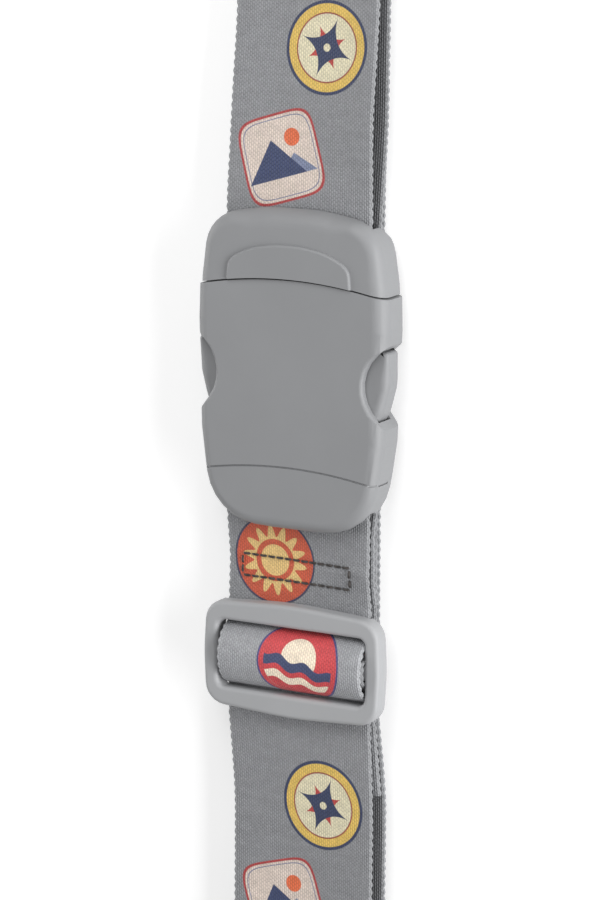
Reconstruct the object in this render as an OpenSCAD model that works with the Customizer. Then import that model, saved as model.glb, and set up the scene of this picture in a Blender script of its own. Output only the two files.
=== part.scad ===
// Luggage strap: one length of woven webbing, a side-release buckle and a slide adjuster.
// The strap is at its shortest setting and lies flat on a table, with the buckle face up.
// X runs across the webbing, Y along it and Z up. The loop's middle is at the origin.

/* [Webbing] */
// Width of the webbing
webbing_w = 50; // [40:1:60]
// Thickness of the webbing
webbing_t = 1.5; // [1.2:0.1:2]
// Gap between layers that lie on each other
lay_gap = 0.3; // [0.2:0.05:0.5]
// Length of the flattened loop, outside
loop_len = 504; // [480:2:700]
// Radius of the inner fold at each end, at the middle of the webbing
fold_r = 3.2; // [2.6:0.1:5]
// Length of each end of the loop that rises into its fold
fold_len = 57; // [45:1:70]
// How far the back of the loop has slipped sideways
back_slip = 2; // [0:0.1:4]
// How far the inner front layer has slipped sideways
inner_slip = 0.8; // [0:0.1:0.9]

/* [Buckle] */
// Thickness of the closed buckle
buckle_t = 12.8; // [12.5:0.1:16]
// Place of the parting line along the strap
buckle_y = 58.2; // [50:0.2:70]
// How far the female half's mouth stands past each edge of the webbing
mouth_margin = 7.6; // [6.8:0.1:9]
// How far the female half's lower end stands past each edge of the webbing
end_margin = 4.9; // [4.2:0.1:6]
// Length of the female half from the corners of the parting line
female_len = 74; // [72:0.5:90]
// Length of the male half's hood from the corners of the parting line
hood_len = 25.5; // [24.5:0.5:34]
// How far the male half's hood is narrower than the mouth, each side
hood_step = 0.6; // [0.5:0.1:2]
// Rise of the parting line in the middle
arch_rise = 3.7; // [1:0.1:4]
// Gap at the parting line
parting_gap = 0.5; // [0.2:0.05:0.8]
// Wall of the shells
wall_t = 2.4; // [1.8:0.1:3]
// Rounding of the front edges at the parting line
edge_r = 4.9; // [3:0.1:5]
// Rounding of the front edges at the female half's lower end
end_edge_r = 3.8; // [2:0.1:4.5]
// Rounding where the hood rolls over to the webbing
roll_r = 6; // [3:0.1:8]
// How far the female half's back rises towards its lower end
back_rise = 2; // [0.5:0.1:2.2]
// Distance of the groove from the female half's lower end
groove_from_end = 16.6; // [15:0.1:18]
// Rise of the groove in the middle
groove_rise = 3; // [1:0.1:4]
// Width of the groove
groove_w = 0.6; // [0.3:0.05:1.2]
// Depth of the groove
groove_depth = 0.45; // [0.2:0.05:0.8]

/* [Raised pad] */
// Width of the raised half-moon pad
pad_w = 43.5; // [30:0.5:45]
// Height of the pad above the parting line's corners
pad_h = 14.4; // [12:0.1:16]
// How far the pad stands proud
pad_rise = 0.9; // [0.3:0.05:1.2]

/* [Windows and prongs] */
// Distance of the side windows from the parting line
window_from_mouth = 14.2; // [13.8:0.1:17]
// Length of the side windows
window_len = 26.4; // [23:0.1:28]
// Depth of the side windows
window_depth = 6.6; // [5:0.1:7.5]
// Gap between the prongs and the female half
prong_gap = 0.35; // [0.25:0.05:0.5]
// How far each prong's shoulder catches behind its window's edge
shoulder_catch = 2.5; // [1:0.1:2.6]
// Gap between each shoulder and its window's edge
shoulder_gap = 0.6; // [0.4:0.1:1]
// Thickness of the flexing arm
arm_t = 3.4; // [2.6:0.1:4]
// Radius of the arm's round root
root_r = 2.6; // [2.2:0.1:3]
// Clearance round the root
root_clear = 0.3; // [0.2:0.05:0.4]
// Width of the guide tongue between the prongs
tongue_w = 25; // [16:0.5:27]
// Length of the guide tongue
tongue_len = 43; // [30:0.5:46]

/* [Webbing bars] */
// Thickness of the buckle's webbing bars
bar_t = 3.4; // [2.8:0.1:4]
// Depth of the buckle's webbing bars along the strap
bar_depth = 6; // [5:0.1:7]
// Gap between a bar and the webbing round it
bar_gap = 0.2; // [0.15:0.05:0.4]
// Distance of the male half's bar from the hood's edge
male_bar_from_edge = 12.8; // [12:0.1:15]
// Distance of the female half's bar from its lower end
female_bar_from_end = 13; // [12.6:0.1:14]
// Clearance at each edge of the webbing
slot_clear = 0.9; // [0.5:0.1:1.5]

/* [Slide adjuster] */
// Height of the adjuster along the strap
glide_h = 36.8; // [35:0.1:42]
// How far the adjuster stands past each edge of the webbing
glide_margin = 6.1; // [4.5:0.1:7]
// How far its bars and sides bow outwards
glide_bow = 1.8; // [0.5:0.1:2.5]
// Height of its window
glide_window_h = 21.8; // [21:0.1:24]
// Thickness of its top and bottom bars
glide_bar_t = 4.5; // [3.5:0.1:6]
// How much deeper its side rails are than its bars
glide_rail_drop = 2.4; // [1.5:0.1:2.6]
// Rounding of its edges
glide_edge_r = 1.5; // [0.8:0.1:2]
// Depth of its centre bar along the strap
centre_bar_depth = 5.5; // [4.5:0.1:6]
// Thickness of its centre bar
centre_bar_t = 3; // [2.4:0.1:3.4]
// Distance of the adjuster from the buckle
glide_from_buckle = 24.6; // [24:0.1:34]

/* [Sewn ends] */
// Length of the hem turned under at the buckle
hem_len = 18.7; // [16:0.1:22]
// Length of the tail sewn at the adjuster, from its centre bar
tail_len = 40.7; // [34:0.1:50]
// Length of the box of stitching across the webbing
stitch_box_w = 38.5; // [24:0.5:39]
// Width of the box of stitching along the webbing
stitch_box_h = 7; // [5:0.1:10]
// Distance of one stitch from the next
stitch_pitch = 2.96; // [2:0.02:4]
// Thickness of the thread
thread_t = 0.32; // [0.2:0.02:0.36]

/* [Hidden] */
$fn = 64;

plastic = [0.55, 0.555, 0.56];
adjuster_plastic = [0.63, 0.635, 0.64];
cloth = [0.5, 0.505, 0.51];
thread = [0.22, 0.2, 0.19];

// A cutter reaches this far past what it cuts
past = 1;
// What is skimmed off a moulded block, and a width that takes in the whole strap
skim = 0.02;
room = 2 * loop_len;
// Points on each quarter of a rounded edge, and on each rounded corner
edge_steps = 5;
corner_steps = 6;
// Points on each bend of the webbing
bend_steps = 10;

// Heights of the middles of the four layers, from the table up
pitch = webbing_t + lay_gap;
z_back_outer = webbing_t / 2;
z_back_inner = z_back_outer + pitch;
z_front_inner = z_back_inner + pitch;
z_front_outer = z_front_inner + pitch;

// The buckle lies on the two back layers
buckle_z = 2 * pitch;
front_z = buckle_z + buckle_t;
wrap_r = bar_t / 2 + bar_gap + webbing_t / 2;
bar_z = z_front_inner + wrap_r;
z_at_bar = bar_z + wrap_r;
pocket_z = z_at_bar + webbing_t / 2 + 2 * lay_gap;
slot_w = webbing_w + 2 * slot_clear;

mouth_x = webbing_w / 2 + mouth_margin;
end_x = webbing_w / 2 + end_margin;
hood_x = mouth_x - hood_step;
female_end = -female_len;
male_bar_y = hood_len - male_bar_from_edge;
female_bar_y = female_end + female_bar_from_end;
// How far the slanted back corners reach along the strap
female_corner = 8.6;
male_corner = 9.4;
// Rounding of the windows' edges
window_edge_r = 1.3;
// Chamfers at the back of the shells, of the pad's hidden foot and of the prongs
shell_chamfer = 0.8;
pad_chamfer = 0.2;
prong_chamfer = 0.5;
// The radius of an arch with a half width and a rise
function arch_r(half, rise) = (half * half + rise * rise) / (2 * rise);

// The inside of the female half, and what fills it
cavity_x = mouth_x - wall_t;
cavity_z0 = buckle_z + wall_t;
cavity_z1 = front_z - wall_t;
window_top = -window_from_mouth;
window_end = window_top - window_len;
// The cavity and the prongs' tips reach this far past the windows
cavity_past = 7;
tip_past = 1.5;
cavity_end = window_end - cavity_past;
plug_x = cavity_x - prong_gap;
plug_z0 = cavity_z0 + prong_gap;
plug_z1 = cavity_z1 - prong_gap;
plug_end = -5.5;
// The prongs' round roots: their places, and how far they stop short of the prong's faces
root_x = plug_x - arm_t / 2 - 1.9;
root_y = -2;
root_inset = 0.25;
shoulder_y = window_top - window_edge_r - shoulder_gap;
prong_x = cavity_x + shoulder_catch;
prong_tip = window_end - tip_past;

// The adjuster's heights: three layers of webbing pass behind its lower bar
z_pass = z_front_inner + 2 * pitch + lay_gap;
z_tail = (z_pass + z_front_inner) / 2;
glide_bar_z = z_pass + webbing_t / 2 + lay_gap;
glide_front_z = glide_bar_z + glide_bar_t;
glide_back_z = glide_bar_z - glide_rail_drop;
centre_wrap_r = centre_bar_t / 2 + bar_gap + webbing_t / 2;
// The centre bar is this far behind the front
centre_bar_set_back = 0.7;
centre_bar_z = glide_front_z - centre_bar_t / 2 - centre_bar_set_back;
glide_y = female_end - glide_from_buckle - glide_h / 2;
glide_x = webbing_w / 2 + glide_margin;
z_over_bar = centre_bar_z + centre_wrap_r + pitch;
// Corner radii of the adjuster and of its window, and the radius of its bowed bars
glide_r = 7;
glide_window_r = 2.5;
glide_bow_r = 150;
glide_window_bow = 0.1;

// Where one stretch of webbing meets the next, along the strap
joint_gap = 1.2;
tail_clear = 5;
// Distance of the buckle's box of stitching from the adjuster
stitch_from_glide = 10.2;
pass_top = glide_y + glide_h / 2 + joint_gap;
pass_end = glide_y - glide_h / 2 - joint_gap;
tail_end = glide_y - tail_len;
inner_end = tail_end - tail_clear;
stitch_y = glide_y + glide_h / 2 + stitch_from_glide;
fold_end = loop_len / 2;
fold_mid = fold_end - fold_r - pitch - webbing_t / 2;
fold_z = z_back_inner + fold_r;
fold_start = fold_end - fold_len;

// Geometry in the plane

function unit(v) = v / norm(v);
function turn_of(angle) = angle > 180 ? angle - 360 : angle < -180 ? angle + 360 : angle;
function vertex(list, i) = [list[i][0], list[i][1]];

// One rounded corner q between p and s, as points [x, y, normal x, normal y, edge radius]
function corner(p, q, s, r, edge) =
    let (
        a = unit(p - q),
        b = unit(s - q),
        half = acos(a * b) / 2,
        c = q + unit(a + b) * r / sin(half),
        from = q + a * r / tan(half) - c,
        to = q + b * r / tan(half) - c,
        start = atan2(from.y, from.x),
        sweep = turn_of(atan2(to.y, to.x) - start),
        side = sweep > 0 ? 1 : -1
    )
    [for (i = [0:corner_steps])
        let (angle = start + sweep * i / corner_steps, d = [cos(angle), sin(angle)])
        [c.x + r * d.x, c.y + r * d.y, side * d.x, side * d.y, edge]];

// A closed outline from corners [x, y, corner radius, edge radius], anticlockwise
function rounded(v) =
    let (n = len(v))
    [for (i = [0:n - 1])
        each corner(vertex(v, (i + n - 1) % n), vertex(v, i), vertex(v, (i + 1) % n), v[i][2], v[i][3])];

// A right half, from bottom to top, followed by its mirror image
function both_sides(half) =
    concat(half, [for (i = [len(half) - 1:-1:0]) [-half[i][0], half[i][1], half[i][2], half[i][3]]]);

function backwards(list) = [for (i = [len(list) - 1:-1:0]) list[i]];
function flat(outline) = [for (p = outline) [p[0], p[1]]];

// A ring of the outline, drawn in by a share of each point's edge radius
function ring(outline, share, z, drop) =
    [for (p = outline) [p[0] - p[2] * p[4] * share, p[1] - p[3] * p[4] * share, z - p[4] * drop]];

// A ring drawn in by the same distance all round
function inset_ring(outline, d, z) = [for (p = outline) [p[0] - p[2] * d, p[1] - p[3] * d, z]];

// A quarter round from the side face to the face at height z, on its upper or lower side
function edge_rings(outline, z, up) =
    [for (i = [0:edge_steps])
        let (angle = 90 * (up ? i : edge_steps - i) / edge_steps)
        ring(outline, 1 - cos(angle), z, (up ? 1 : -1) * (1 - sin(angle)))];

// A solid from rings of equal counts: capped at both ends, or closed on itself
module skin(rings, closed = false) {
    n = len(rings[0]);
    m = len(rings);
    sides = [for (j = [0:m - (closed ? 1 : 2)]) for (k = [0:n - 1])
        let (a = j * n + k, b = j * n + (k + 1) % n, up = (j + 1) % m * n)
        each [[a, up + k, up + (k + 1) % n], [a, up + (k + 1) % n, b]]];
    ends = closed ? [] : [[for (k = [0:n - 1]) k], [for (k = [n - 1:-1:0]) (m - 1) * n + k]];
    polyhedron([for (r = rings) each r], concat(sides, ends));
}

// A moulded block over an outline: a small chamfer at the back and each point's own rounding at the front
module moulded(outline, z0, z1, chamfer) {
    skin(concat([inset_ring(outline, chamfer, z0), inset_ring(outline, 0, z0 + chamfer)],
        edge_rings(outline, z1, true)));
}

// The same, made a little too thick and then skimmed flat at its front and back
module skimmed(outline, z0, z1, chamfer) {
    intersection() {
        moulded(outline, z0 - skim, z1 + skim, chamfer + skim);
        translate([0, 0, (z0 + z1) / 2]) cube([room, room, z1 - z0], center = true);
    }
}

// Extrudes a profile in Y and Z across the strap, in the middle
module across(width) {
    rotate([90, 0, 90]) linear_extrude(width, center = true) children();
}

// Paths of the webbing as points [y, z] along its middle

// An arc, without its first point where a path already stands there
function arc(c, r, from, to, first = 0) =
    [for (i = [first:bend_steps]) let (a = from + (to - from) * i / bend_steps) c + r * [cos(a), sin(a)]];
// A smooth step from one level to another
function ease(p, q) =
    [for (i = [0:bend_steps]) let (s = i / bend_steps)
        [p.x + (q.x - p.x) * s, p.y + (q.y - p.y) * s * s * (3 - 2 * s)]];

// Side of a path: points moved along its normal by half the thickness
function beside(path, d) =
    let (last = len(path) - 1)
    [for (i = [0:last])
        let (t = unit(path[min(i + 1, last)] - path[max(i - 1, 0)]))
        path[i] + d * [-t.y, t.x]];
function ribbon_outline(path) =
    let (left = beside(path, webbing_t / 2), right = beside(path, -webbing_t / 2))
    concat(left, backwards(right));

module ribbon(path, slip = 0) {
    color(cloth) translate([slip, 0, 0]) across(webbing_w) polygon(ribbon_outline(path));
}

// Moves a shape from the buckle's parting line to its place on the strap
module at_buckle() {
    translate([0, buckle_y, 0]) children();
}

// Buckle

// The area under an arch whose corners are at height y
module below_arch(half, y, rise, lift = 0) {
    translate([0, y + rise - arch_r(half, rise)]) circle(arch_r(half, rise) + lift, $fn = 256);
}

function female_outline() =
    rounded(both_sides([
        [0.2 * end_x, female_end - 0.3, 40, end_edge_r],
        [0.91 * end_x, female_end + 0.4, 1.1 * groove_from_end, end_edge_r],
        [end_x, female_end + groove_from_end, 20, end_edge_r],
        [mouth_x - 0.8, window_end - 4, 20, (edge_r + end_edge_r) / 2],
        [mouth_x + 0.4, window_top + 4, 20, edge_r],
        [mouth_x - 0.3, 4 * arch_rise, edge_r + 0.5, edge_r]
    ]));

function hood_outline() =
    rounded(both_sides([
        [hood_x, -4 * arch_rise, edge_r + 0.5, edge_r],
        [hood_x, 3, 40, edge_r],
        [hood_x - 3, hood_len - 3.6, 12.5, 0.7 * roll_r],
        [0.3 * hood_x, hood_len - 0.2, 60, roll_r]
    ]));

// Room for the webbing and its bar: open at the back and at the buckle's end.
// Above the webbing it keeps away from the shell's rounded edges
module webbing_pocket(bar_y, end_y, side, outline) {
    inner = bar_y - side * (bar_depth / 2 + bar_gap + webbing_t + 2 * lay_gap);
    reach = abs(end_y - inner) + past;
    hollow = reach - past - wall_t - 0.4;
    height = pocket_z - buckle_z + past;
    translate([0, inner + side * reach / 2, pocket_z - height / 2])
        cube([slot_w, reach, height], center = true);
    translate([0, 0, pocket_z - past]) linear_extrude(cavity_z1 - pocket_z + past) intersection() {
        translate([0, inner + side * hollow / 2]) square([slot_w, hollow], center = true);
        polygon(flat(inset_ring(outline, edge_r, 0)));
    }
}

// The slanted back corner that the side walls leave free where the webbing comes out
module back_corner(end_y, side, depth) {
    foot = end_y - side * depth;
    outside = end_y + side * past;
    across(2 * mouth_x + 2 * past)
        polygon([[foot, buckle_z - past], [foot, buckle_z], [outside, front_z - roll_r],
            [outside + side * past, front_z - roll_r], [outside + side * past, buckle_z - past]]);
}

// The wedge taken off the female half's back, from the windows down
module back_wedge() {
    end = female_end - past;
    run = (window_end - end) * past / back_rise;
    across(2 * mouth_x + 2 * past)
        polygon([[window_end + run, buckle_z - past], [end, buckle_z + back_rise], [end, buckle_z - past]]);
}

// A webbing bar: flat with round edges, from wall to wall
module webbing_bar(y, z, depth, thick, width) {
    translate([0, y, z]) across(width) {
        square([depth - thick, thick], center = true);
        for (side = [-1, 1]) translate([side * (depth - thick) / 2, 0]) circle(thick / 2);
    }
}

function cavity_corners() = [
    [cavity_x - 5, cavity_end, 6, 0],
    [cavity_x, window_end + 1, 8, 0],
    [cavity_x, 4 * arch_rise, 1, 0]
];

// The windows: round cuts through the sides, whose front edges are rounded.
// The side walls end square above them, where the shoulders catch
module side_windows() {
    bottom = [mouth_x - 0.2, window_end];
    top = [mouth_x + 0.2, window_top];
    deep = [mouth_x - 1.8 * window_depth, window_top - 0.41 * window_len];
    below = bottom + (bottom - deep) / 2;
    above = top + (top - deep) / 2;
    cut = turned(rounded([
        [deep.x, deep.y, 0.5 * window_len, window_edge_r],
        [below.x, below.y, 1, window_edge_r],
        [above.x, above.y, 1, window_edge_r]
    ]));
    for (side = [0, 1]) mirror([side, 0, 0]) {
        skin(concat([inset_ring(cut, 0, buckle_z - past)], edge_rings(cut, front_z + skim, true),
            [inset_ring(cut, window_edge_r, front_z + past)]));
        translate([mouth_x, window_top - window_edge_r - window_len / 4, (cavity_z0 + cavity_z1) / 2])
            cube([2 * (mouth_x - cavity_x) + past, window_len / 2, cavity_z1 - cavity_z0], center = true);
    }
}

// One edge of the groove, past both sides of the female half
function groove_line(y, lift) =
    let (
        middle = arch_r(end_x, groove_rise),
        r = middle + lift,
        reach = asin((end_x + past) / r)
    )
    [for (i = [-bend_steps:bend_steps])
        let (angle = reach * i / bend_steps)
        [r * sin(angle), y + groove_rise - middle + r * cos(angle)]];

module styling_groove() {
    groove_y = female_end + groove_from_end;
    translate([0, 0, front_z - groove_depth]) linear_extrude(groove_depth + past)
        polygon(concat(groove_line(groove_y, groove_w / 2), backwards(groove_line(groove_y, -groove_w / 2))));
    for (side = [-1, 1]) {
        translate([side * (end_x + past - groove_depth), groove_y, buckle_z + buckle_t / 2])
            cube([2 * past, groove_w, buckle_t - 2 * end_edge_r + past], center = true);
        // over the rounded edge, between the front and the side
        translate([side * (end_x - end_edge_r), groove_y + groove_w / 3, front_z - end_edge_r])
            rotate([0, side * 45, 0])
                translate([0, 0, end_edge_r + past - groove_depth])
                    cube([0.8 * end_edge_r, groove_w, 2 * past], center = true);
    }
}

module female_housing() {
    color(plastic) at_buckle() {
        difference() {
            skimmed(female_outline(), buckle_z, front_z, shell_chamfer);
            // the mouth follows the arched parting line
            translate([0, 0, buckle_z - past]) linear_extrude(buckle_t + 2 * past) difference() {
                translate([0, 2 * arch_rise + past])
                    square([3 * mouth_x, 4 * arch_rise + 2 * past], center = true);
                below_arch(mouth_x, 0, arch_rise);
            }
            translate([0, 0, cavity_z0]) linear_extrude(cavity_z1 - cavity_z0)
                polygon(flat(rounded(both_sides(cavity_corners()))));
            side_windows();
            webbing_pocket(female_bar_y, female_end, -1, female_outline());
            back_corner(female_end, -1, female_corner);
            back_wedge();
            styling_groove();
        }
        webbing_bar(female_bar_y, bar_z, bar_depth, bar_t, slot_w + 0.6 * wall_t);
    }
}

// The half-moon pad above the parting line
module raised_pad() {
    pad = rounded(both_sides([
        [pad_w / 2, -2 * pad_rise, 2 * pad_rise, pad_rise],
        [pad_w / 2 - 0.8, pad_h - 5.2, 5.5, pad_rise],
        [0.3 * pad_w, pad_h - 1.2, 25, pad_rise],
        [0.1 * pad_w, pad_h + 0.2, 25, pad_rise]
    ]));
    skimmed(pad, front_z - edge_r, front_z + pad_rise, pad_chamfer);
}

module prong_sockets() {
    for (side = [-1, 1]) translate([side * root_x, root_y, cavity_z0 - past]) {
        cylinder(h = buckle_t, r = root_r + root_clear);
        // the arm's way out, wide enough for the squeeze
        translate([0, -root_r - past, buckle_t / 2])
            cube([2 * root_r - 0.4, 2 * root_r + 2 * past, buckle_t], center = true);
        translate([side * (root_r + past), -root_r, buckle_t / 2])
            cube([2 * root_r + 2 * past, 2 * root_r - 1.6, buckle_t], center = true);
    }
}

module male_housing() {
    tongue_z = (plug_z0 + plug_z1) / 2;
    color(plastic) at_buckle() {
        difference() {
            union() {
                skimmed(hood_outline(), buckle_z, front_z, shell_chamfer);
                raised_pad();
            }
            translate([0, 0, buckle_z - past]) linear_extrude(buckle_t + 2 * past)
                below_arch(mouth_x, 0, arch_rise, parting_gap);
            webbing_pocket(male_bar_y, hood_len, 1, hood_outline());
            back_corner(hood_len, 1, male_corner);
        }
        webbing_bar(male_bar_y, bar_z, bar_depth, bar_t, slot_w + wall_t);
        // the plug that enters the mouth, with a round seat for each prong
        difference() {
            translate([0, (plug_end + arch_rise + past) / 2, tongue_z])
                cube([2 * plug_x, arch_rise + past - plug_end, plug_z1 - plug_z0], center = true);
            prong_sockets();
        }
        // the guide tongue, with its lightening slot
        translate([0, 0, plug_z0 + 2]) linear_extrude(plug_z1 - plug_z0 - 4) difference() {
            polygon(flat(rounded(both_sides([
                [tongue_w / 2 - 2, -tongue_len, 4, 0],
                [tongue_w / 2, plug_end + past, 0.5, 0]
            ]))));
            translate([0, -0.62 * tongue_len]) square([0.45 * tongue_w, 0.4 * tongue_len], center = true);
        }
    }
}

// Prong outline on the right: the arm, its shoulder and the button that fills the window
function prong_outline() =
    let (inner = prong_x - arm_t - 5)
    rounded([
        [plug_x - arm_t, shoulder_y + 4, 6, 0.6],
        [inner, shoulder_y - 3, 4, 0.6],
        [inner + 0.2, prong_tip, 1.2, 0.8],
        [inner + 2.5, prong_tip, 1.2, 0.8],
        [prong_x - 2.2, window_end + 0.2 * window_len, 12, 2.6],
        [prong_x + 0.1, window_end + 0.53 * window_len, 16, 2.6],
        [prong_x, shoulder_y, 1.3, 1.2],
        [plug_x, shoulder_y, 0.3, 0.3],
        [plug_x, root_y - root_r - 0.6, 1.2, 0.6],
        [root_x + 1, root_y, 0.8, 0.3],
        [root_x - 1, root_y, 0.8, 0.3]
    ]);

module prong() {
    color(plastic) at_buckle() {
        moulded(prong_outline(), plug_z0, plug_z1, prong_chamfer);
        translate([root_x, root_y, plug_z0 + root_inset])
            cylinder(h = plug_z1 - plug_z0 - 2 * root_inset, r = root_r);
    }
}

module right_prong() {
    prong();
}

module left_prong() {
    mirror([1, 0, 0]) prong();
}

// Slide adjuster

function glide_outline(x, h, r, bow) =
    let (side = x - bow / 2, end = h / 2 - bow)
    [for (p = rounded([[-side, -end, r], [0, -h / 2, glide_bow_r], [side, -end, r], [x, 0, glide_bow_r / 2],
        [side, end, r], [0, h / 2, glide_bow_r], [-side, end, r], [-x, 0, glide_bow_r / 2]]))
        [p[0], p[1], p[2], p[3], glide_edge_r]];
// The same outline with its normals turned inwards, for the window's edge
function turned(outline) = [for (p = outline) [p[0], p[1], -p[2], -p[3], p[4]]];

module adjuster_frame() {
    outer = glide_outline(glide_x, glide_h, glide_r, glide_bow);
    inner = turned(glide_outline(slot_w / 2, glide_window_h, glide_window_r, glide_window_bow));
    outer_rings = concat(edge_rings(outer, glide_back_z, false), edge_rings(outer, glide_front_z, true));
    inner_rings = concat(edge_rings(inner, glide_back_z, false), edge_rings(inner, glide_front_z, true));
    color(adjuster_plastic) at_buckle() translate([0, glide_y, 0]) {
        difference() {
            skin(concat(outer_rings, backwards(inner_rings)), closed = true);
            // the webbing's way behind the bars
            across(slot_w)
                polygon([[-glide_h, glide_back_z - past], [glide_h, glide_back_z - past],
                    [glide_h, glide_bar_z], [-glide_h, glide_bar_z]]);
        }
        webbing_bar(0, centre_bar_z, centre_bar_depth, centre_bar_t, slot_w + glide_margin);
    }
}

// Webbing

// Past each bar the webbing runs straight for this much, then settles to its next level
bar_run = 4.5;
settle = 18;
bar_turn = (bar_depth - bar_t) / 2;
centre_turn = (centre_bar_depth - centre_bar_t) / 2;
// At the adjuster the webbing bends this far inside the window's edges
bend_in = 0.2;
// It is level over the centre bar and for this much past it
past_bar = 0.8;
// Each stretch ends with this much straight, so that its end is square to the next
lead = 2;

function shifted(path) = [for (p = path) [p.x, p.y] + [buckle_y, 0]];

module webbing_sewn_end() {
    z_hem = z_pass - 2 * pitch;
    fold = [pass_top + webbing_t / 2 + pitch / 2 + lay_gap, z_pass - 1.5 * pitch];
    out = female_bar_y - bar_run;
    ribbon(shifted(concat(
        [[fold.x + hem_len, z_hem]],
        arc(fold, pitch / 2, 270, 90),
        ease([fold.x + hem_len + lay_gap, z_pass - pitch], [out, bar_z - wrap_r]),
        arc([female_bar_y + bar_turn, bar_z], wrap_r, -90, 90),
        ease([out, z_at_bar], [out - settle, z_pass]),
        [[pass_top, z_pass]])));
}

module webbing_adjuster_pass() {
    top = glide_y + glide_window_h / 2;
    end = glide_y - glide_window_h / 2;
    bar = centre_bar_depth / 2;
    ribbon(shifted(concat(
        [[pass_top, z_pass]],
        ease([top - bend_in, z_pass], [glide_y + bar + past_bar, z_over_bar]),
        ease([glide_y - bar - past_bar, z_over_bar], [end + bend_in, z_pass]),
        [[pass_end, z_pass]])));
}

module webbing_adjuster_end() {
    end = glide_y - glide_window_h / 2;
    ribbon(shifted(concat(
        [[inner_end, z_front_inner]],
        ease([end + lead / 2, z_front_inner],
            [glide_y - centre_turn - past_bar, centre_bar_z - centre_wrap_r]),
        arc([glide_y + centre_turn, centre_bar_z], centre_wrap_r, -90, 90),
        ease([glide_y - centre_turn, centre_bar_z + centre_wrap_r], [end + bend_in, z_tail]),
        [[tail_end, z_tail]])), inner_slip);
}

module webbing_lower_outer() {
    ribbon(concat(
        [[buckle_y + pass_end, z_pass]],
        ease([buckle_y + inner_end, z_pass], [lead - fold_start, z_front_outer]),
        [[-fold_start, z_front_outer]]));
}

module webbing_lower_inner() {
    ribbon([[buckle_y + inner_end, z_front_inner], [-fold_start, z_front_inner]], inner_slip);
}

// One end of the loop: the front layer rises, turns over and lies down as the back layer
function fold_path(side, r, z_front, z_back) =
    concat(
        [[side * fold_start, z_front]],
        ease([side * (fold_start + lead), z_front], [side * fold_mid, fold_z + r]),
        arc([side * fold_mid, fold_z], r, 90, 90 - side * 180, first = 1),
        [[side * fold_start, z_back]]);

module webbing_lower_fold_outer() {
    ribbon(fold_path(-1, fold_r + pitch, z_front_outer, z_back_outer), -back_slip / 2);
}

module webbing_lower_fold_inner() {
    ribbon(fold_path(-1, fold_r, z_front_inner, z_back_inner), -back_slip / 2);
}

module webbing_upper_fold_outer() {
    ribbon(fold_path(1, fold_r + pitch, z_front_outer, z_back_outer), -back_slip / 2);
}

module webbing_upper_fold_inner() {
    ribbon(fold_path(1, fold_r, z_front_inner, z_back_inner), -back_slip / 2);
}

module webbing_back_outer() {
    ribbon([[-fold_start, z_back_outer], [fold_start, z_back_outer]], -back_slip);
}

module webbing_back_inner() {
    ribbon([[-fold_start, z_back_inner], [fold_start, z_back_inner]], -back_slip);
}

module webbing_male_loop() {
    bar_y = buckle_y + male_bar_y;
    out = buckle_y + hood_len;
    ribbon(concat(
        [[fold_start, z_front_outer]],
        ease([fold_start - lead, z_front_outer], [out, z_at_bar]),
        arc([bar_y - bar_turn, bar_z], wrap_r, 90, 270),
        [[fold_start, z_front_inner]]));
}

// A box of stitches lying on the webbing at height z
module stitch_box(y, z) {
    rows = floor(stitch_box_w / stitch_pitch);
    ends = floor(stitch_box_h / stitch_pitch);
    length = 0.8 * stitch_pitch;
    color(thread) translate([0, buckle_y + y, z]) {
        for (i = [0:rows - 1], side = [-1, 1])
            translate([(i - (rows - 1) / 2) * stitch_pitch, side * stitch_box_h / 2, thread_t / 2])
                cube([length, 2 * thread_t, thread_t], center = true);
        for (i = [0:ends - 1], side = [-1, 1])
            translate([side * stitch_box_w / 2, (i - (ends - 1) / 2) * stitch_pitch, thread_t / 2])
                cube([2 * thread_t, length, thread_t], center = true);
    }
}

module buckle_stitching() {
    stitch_box(stitch_y, z_pass + webbing_t / 2);
}

module adjuster_stitching() {
    stitch_box(tail_end + stitch_box_h, z_tail + webbing_t / 2);
}

female_housing();
male_housing();
left_prong();
right_prong();
adjuster_frame();
webbing_sewn_end();
webbing_lower_outer();
webbing_lower_inner();
webbing_lower_fold_outer();
webbing_lower_fold_inner();
webbing_back_outer();
webbing_back_inner();
webbing_upper_fold_outer();
webbing_upper_fold_inner();
webbing_male_loop();
webbing_adjuster_pass();
webbing_adjuster_end();
buckle_stitching();
adjuster_stitching();
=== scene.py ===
import math

import bmesh
import bpy
import numpy as np
from mathutils import Matrix, Vector


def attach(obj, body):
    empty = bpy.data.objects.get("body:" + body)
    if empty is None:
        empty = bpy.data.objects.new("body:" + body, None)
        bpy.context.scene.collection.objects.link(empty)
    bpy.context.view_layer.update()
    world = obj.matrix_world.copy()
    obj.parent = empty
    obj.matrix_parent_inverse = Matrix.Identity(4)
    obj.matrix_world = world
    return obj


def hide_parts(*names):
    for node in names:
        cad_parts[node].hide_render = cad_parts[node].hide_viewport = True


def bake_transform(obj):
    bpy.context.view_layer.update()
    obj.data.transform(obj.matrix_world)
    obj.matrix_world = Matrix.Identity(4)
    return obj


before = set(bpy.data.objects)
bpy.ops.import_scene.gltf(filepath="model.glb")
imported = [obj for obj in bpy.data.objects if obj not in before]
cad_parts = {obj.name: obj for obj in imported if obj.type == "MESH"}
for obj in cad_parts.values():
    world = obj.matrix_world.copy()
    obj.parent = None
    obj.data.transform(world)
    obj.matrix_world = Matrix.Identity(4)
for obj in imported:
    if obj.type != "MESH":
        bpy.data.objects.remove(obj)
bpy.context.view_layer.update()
scene = bpy.context.scene

# Sizes are in millimetres until a mesh is made, and most repeat those of the solids
MM = 0.001
WEBBING_W = 50.0
WEBBING_T = 1.5
# Heights of the middles of the four layers
BACK_OUTER = 0.75
BACK_INNER = 2.55
FRONT_INNER = 4.35
FRONT_OUTER = 6.15
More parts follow.
